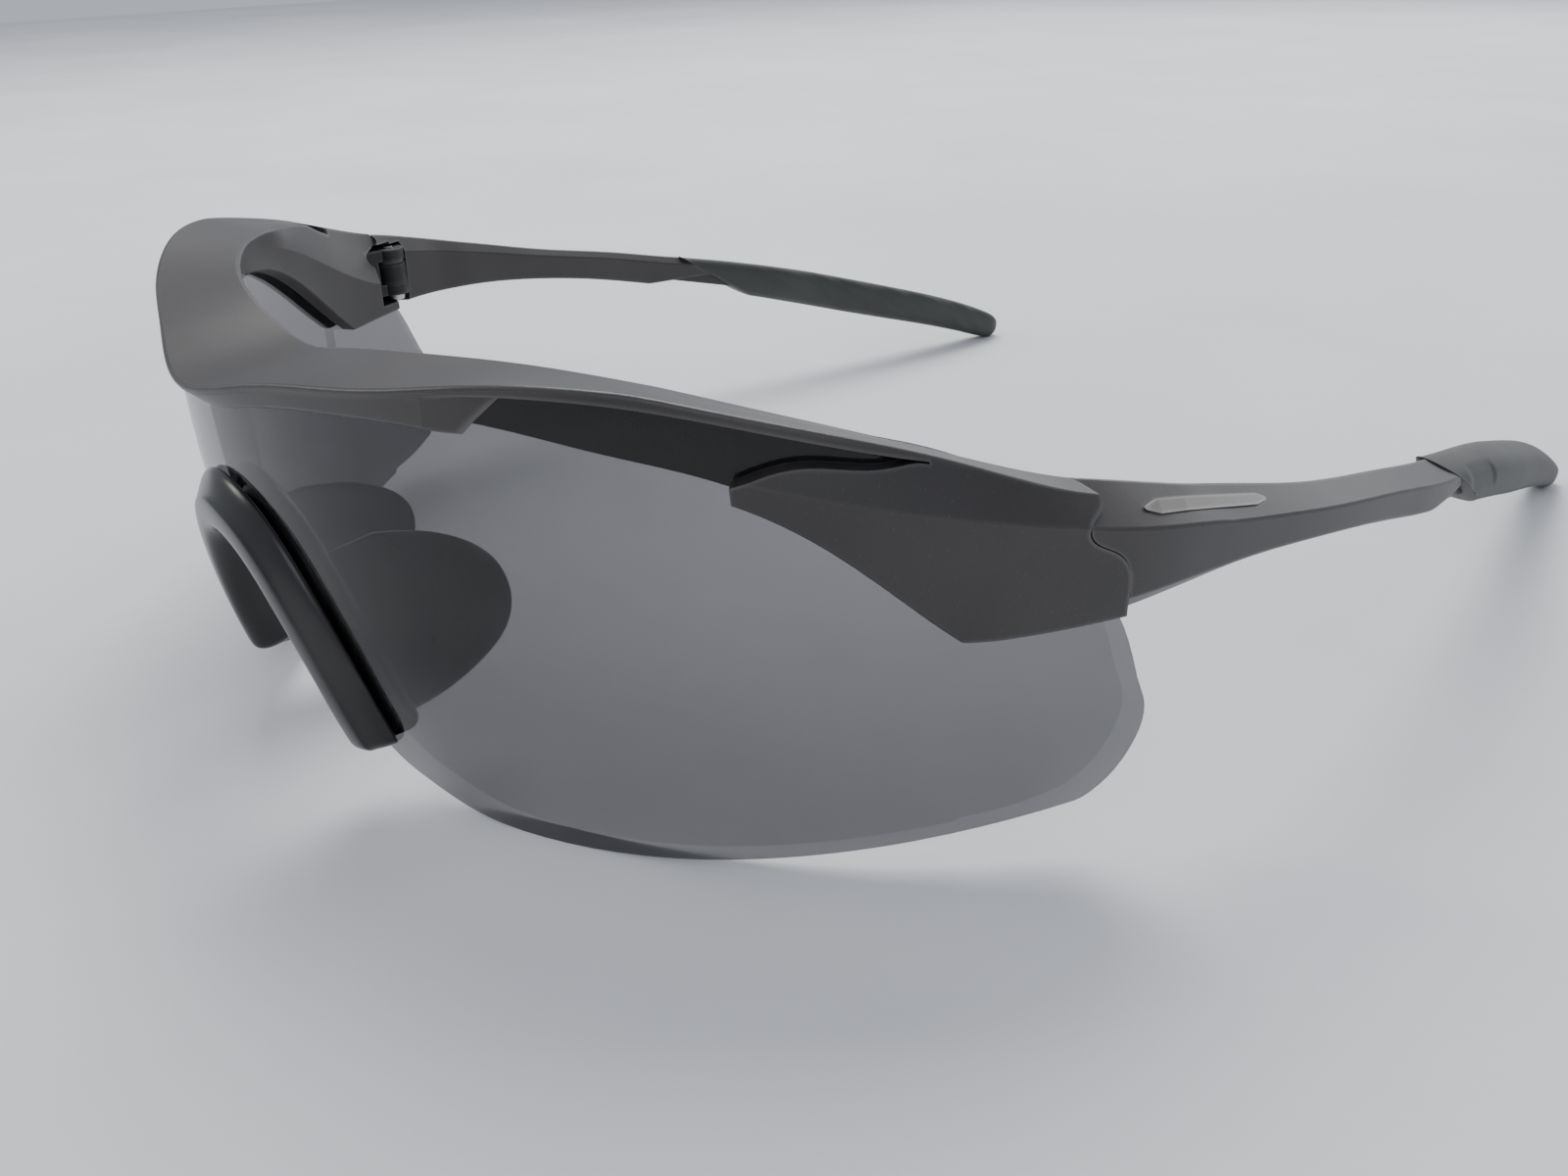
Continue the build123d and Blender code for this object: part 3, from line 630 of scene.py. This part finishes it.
def grip(side, sign):
    rings = [grip_ring(sign, k / GRIP_STEPS) for k in range(GRIP_STEPS + 1)]
    seam, last = rings[0], rings[-1]
    rings += [shrunk(last, scale, Vector((0, dy * MM, 0))) for scale, dy in TIP]
    # flat seam end, slightly chamfered
    rings[:1] = [shrunk(seam, 0.5, SEAM_NORMAL * 0.02),
                 shrunk(seam, 0.955, SEAM_NORMAL * 0.02),
                 [v + SEAM_NORMAL * 0.18 for v in seam]]
    return rings_mesh("temple_grip_%s_visual" % side, rings, MATERIALS["grip_rubber"])


for side, sign in SIDES:
    register(grip(side, sign), "temple_grip_" + side, "temple_" + side)

# ------------------------------------------------------------------ inlays on the arms
# front part of the left arm, with the columns of GRIP
ARM = [
    (42.0, 34.95, 25.15, 32.2, 65.4, 6.0), (45.0, 34.2, 25.35, 31.6, 66.0, 5.7),
    (48.0, 33.4, 25.4, 31.0, 66.3, 5.2), (53.0, 32.1, 25.3, 29.8, 66.5, 4.6),
    (60.0, 30.3, 24.8, 28.3, 66.7, 4.1), (68.0, 28.3, 23.7, 26.7, 66.8, 3.9)]
INLAY_PROUD = 0.13    # its face stands this far above the facet
INLAY_REACH = 0.22    # vertices no deeper than this belong to the face
LONG_EDGE = 0.0018    # metres; longer edges are divided


def inlay(side, sign):
    """The CAD's inlay, its face fitted to the arm's upper facet."""
    bm = bmesh.new()
    bm.from_mesh(NODES["temple_badge_" + side].data)
    bmesh.ops.remove_doubles(bm, verts=bm.verts, dist=1e-6)
    long_edges = [e for e in bm.edges if e.calc_length() > LONG_EDGE]
    bmesh.ops.subdivide_edges(bm, edges=long_edges, cuts=3)
    for v in bm.verts:
        y = v.co.y / MM + Y_SHIFT
        point = Vector((abs(v.co.x) / MM, v.co.z / MM))
        top, _, ridge, outer, thick = interpolate(ARM, y)
        facet_top = Vector((outer - TOP_INSET * thick, top))
        slope = (Vector((outer, ridge)) - facet_top).normalized()
        normal = Vector((-slope.y, slope.x))
        gap = (point - facet_top).dot(normal)
        if gap > -INLAY_REACH:
            q = point + normal * (INLAY_PROUD - gap)
            v.co = scaled((sign * q.x, y - Y_SHIFT, q.y))
    bmesh.ops.recalc_face_normals(bm, faces=bm.faces)
    name = "temple_badge_%s_visual" % side
    mesh = bpy.data.meshes.new(name)
    bm.to_mesh(mesh)
    bm.free()
    return add_object(name, mesh, MATERIALS["badge_gloss"])


for side, sign in SIDES:
    register(inlay(side, sign), "temple_badge_" + side, "temple_" + side)

# ------------------------------------------------------------------ floor and light
bpy.ops.mesh.primitive_plane_add(size=3.0, location=(0, 0, 0))
floor = bpy.context.object
floor.name = "floor"
floor.data.materials.append(floor_material())

world = bpy.data.worlds.new("studio")
bpy.context.scene.world = world
world.use_nodes = True
background = world.node_tree.nodes["Background"]
background.inputs["Color"].default_value = (0.86, 0.90, 1.0, 1.0)
background.inputs["Strength"].default_value = 0.58


def area(name, location, target, size, power, color):
    """Rectangular light aimed at a target; metres and watts."""
    light = bpy.data.lights.new(name, "AREA")
    light.shape = "RECTANGLE"
    light.size, light.size_y = size
    light.energy = power
    light.color = color
    obj = bpy.data.objects.new(name, light)
    bpy.context.collection.objects.link(obj)
    obj.location = location
    aim = Vector(target) - Vector(location)
    obj.rotation_euler = aim.to_track_quat("-Z", "Y").to_euler()


area("key", location=(-0.40, 0.30, 0.85), target=(0, -0.02, 0.02),
     size=(0.6, 0.6), power=8.5, color=(1.0, 0.985, 0.96))
area("fill", location=(0.55, -0.55, 0.50), target=(0.02, -0.03, 0.02),
     size=(0.6, 0.4), power=1.1, color=(0.93, 0.96, 1.0))
area("window", location=(-0.62, -0.58, 0.55), target=(0, -0.06, 0.03),
     size=(0.22, 0.34), power=1.6, color=(1.0, 0.97, 0.90))
area("back", location=(-0.25, 0.95, 0.40), target=(0, 0.0, 0.02),
     size=(1.1, 0.35), power=3.2, color=(0.97, 0.98, 1.0))

# ------------------------------------------------------------------ camera
CAMERA_PLACE = (118.02, -31.91 - Y_SHIFT, 72.14)
AZIMUTH = math.radians(51.62)     # from -y towards +x
ELEVATION = math.radians(26.61)
ROLL = math.radians(-2.02)
FOCAL_LENGTH = 30.84975           # on a sensor 36 mm wide

back = Vector((math.sin(AZIMUTH) * math.cos(ELEVATION),
               -math.cos(AZIMUTH) * math.cos(ELEVATION), math.sin(ELEVATION)))
level = Vector((math.cos(AZIMUTH), math.sin(AZIMUTH), 0.0))
upright = back.cross(level)
right = level * math.cos(ROLL) + upright * math.sin(ROLL)
up = level * (-math.sin(ROLL)) + upright * math.cos(ROLL)

camera_data = bpy.data.cameras.new("camera")
camera = bpy.data.objects.new("camera", camera_data)
bpy.context.collection.objects.link(camera)
rotation = Matrix((right, up, back)).transposed().to_4x4()
camera.matrix_world = Matrix.Translation(scaled(CAMERA_PLACE)) @ rotation
camera_data.sensor_width = 36.0
camera_data.lens = FOCAL_LENGTH
camera_data.clip_start = 0.005
bpy.context.scene.camera = camera
